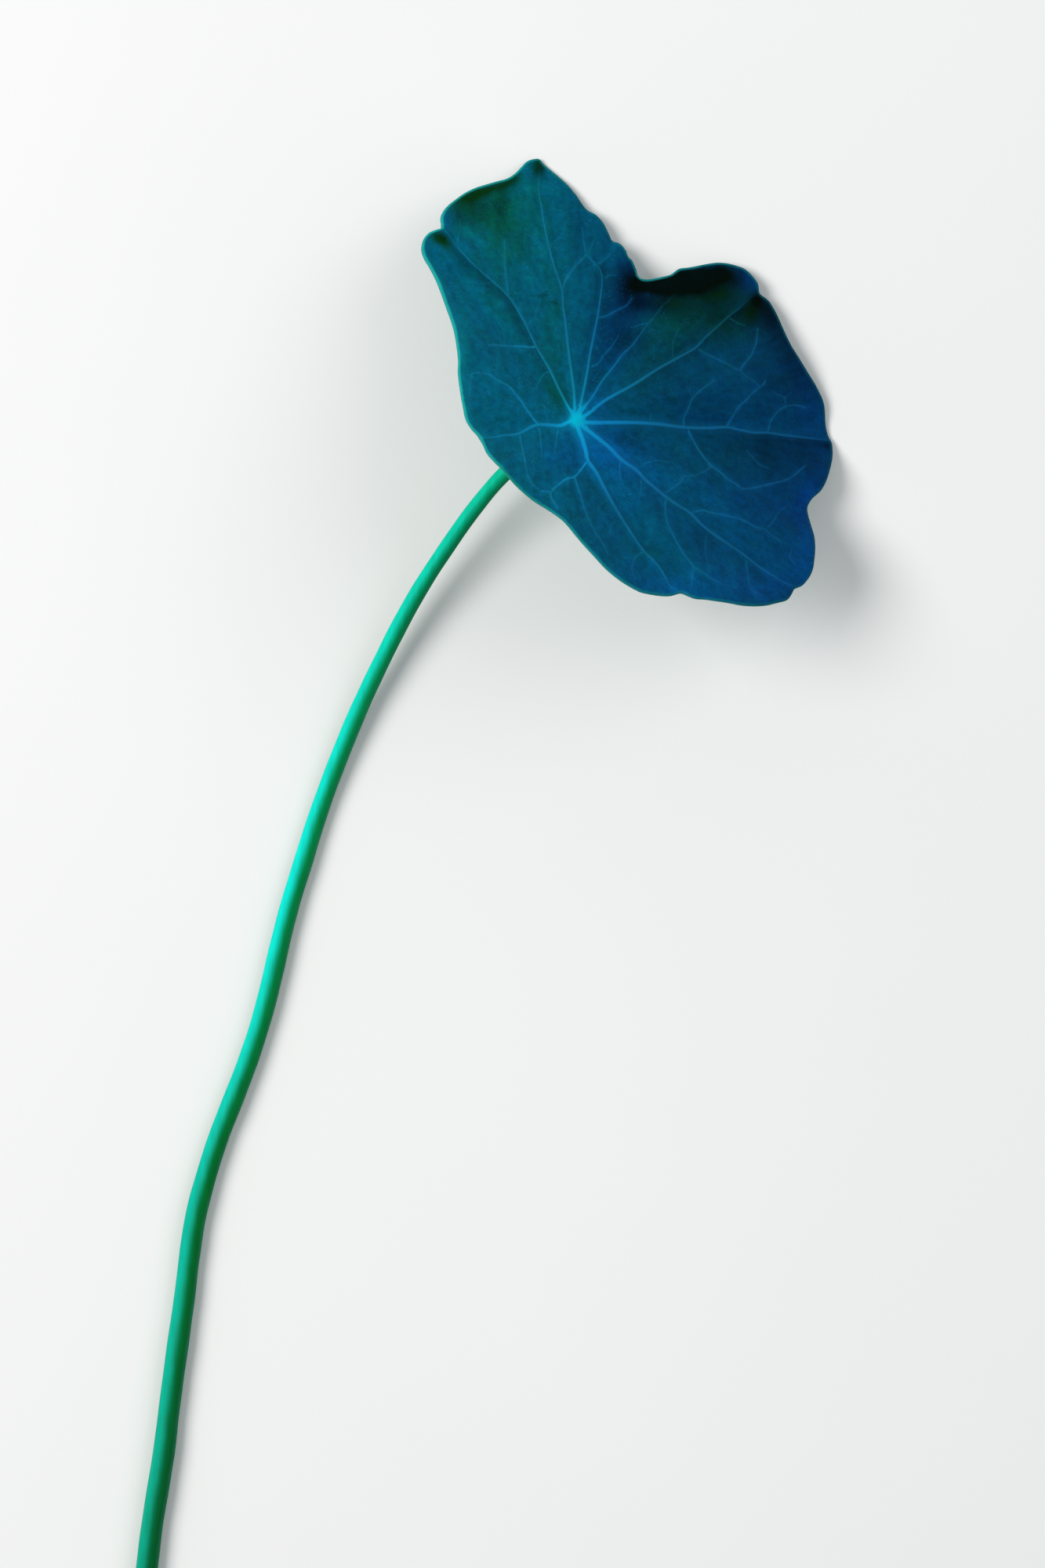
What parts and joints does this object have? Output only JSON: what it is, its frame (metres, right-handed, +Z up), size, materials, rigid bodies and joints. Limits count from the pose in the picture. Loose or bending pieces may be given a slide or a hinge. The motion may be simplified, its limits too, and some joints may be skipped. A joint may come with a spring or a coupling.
{
  "type": "nasturtium leaf",
  "caption": "Round, wavy-edged nasturtium leaf with radiating veins on a long thin stalk, lying as picked.",
  "frame": {"origin": "Centre of the bounding box in plan, on the surface the leaf lies on.", "axes": "+Z up from the surface, +Y along the length from the stalk's cut end towards the blade, +X to the right with the blade's low margin at the upper right."},
  "size_m": [0.1126, 0.236, 0.036],
  "materials": {
    "leaf_blade": "waxy blue-green leaf with paler veins",
    "leaf_stalk": "smooth, fleshy green stalk"
  },
  "bodies": {
    "root": {"leaf_blade": "leaf_blade", "leaf_stalk": "leaf_stalk"}
  },
  "joints": []
}
